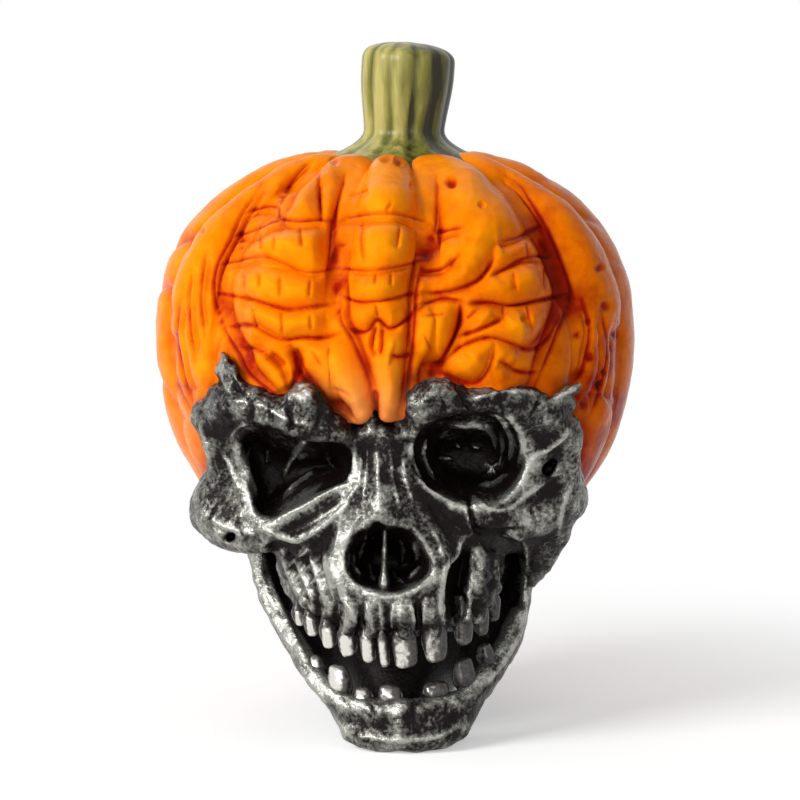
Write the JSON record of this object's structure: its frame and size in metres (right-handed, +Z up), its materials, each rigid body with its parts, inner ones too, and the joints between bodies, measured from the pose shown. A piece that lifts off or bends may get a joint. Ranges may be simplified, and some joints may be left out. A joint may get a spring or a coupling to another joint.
{
  "type": "halloween skull decoration",
  "caption": "Cast resin table ornament: an open-jawed skull whose torn brow carries a lobed, folded pumpkin cap with a stem.",
  "frame": {"origin": "centre of the plug's underside, on the surface that the ornament stands on, under the pumpkin's axis", "axes": "+Z up, the face looks along -Y, +X is the viewer's right"},
  "size_m": [0.102, 0.0995, 0.1435],
  "materials": {
    "pumpkin_paint": "satin orange paint with a dark red wash in the folds",
    "stem_paint": "gloss olive paint",
    "bone_paint": "gloss black paint, dry-brushed with silver",
    "tooth_paint": "black paint, heavily dry-brushed with silver",
    "plug_resin": "bare black resin"
  },
  "bodies": {
    "root": {"pumpkin_shell": "pumpkin_paint", "stem": "stem_paint", "skull": "bone_paint", "nasal_septum": "bone_paint", "lower_jaw": "bone_paint", "base_plug": "plug_resin", "upper_tooth_1": "tooth_paint", "upper_tooth_2": "tooth_paint", "upper_tooth_3": "tooth_paint", "upper_tooth_4": "tooth_paint", "upper_tooth_5": "tooth_paint", "upper_tooth_6": "tooth_paint", "upper_tooth_7": "tooth_paint", "upper_tooth_8": "tooth_paint", "upper_tooth_9": "tooth_paint", "upper_tooth_10": "tooth_paint", "upper_tooth_11": "tooth_paint", "lower_tooth_1": "tooth_paint", "lower_tooth_2": "tooth_paint", "lower_tooth_3": "tooth_paint", "lower_tooth_4": "tooth_paint", "lower_tooth_5": "tooth_paint", "lower_tooth_6": "tooth_paint", "lower_tooth_7": "tooth_paint"}
  },
  "joints": []
}
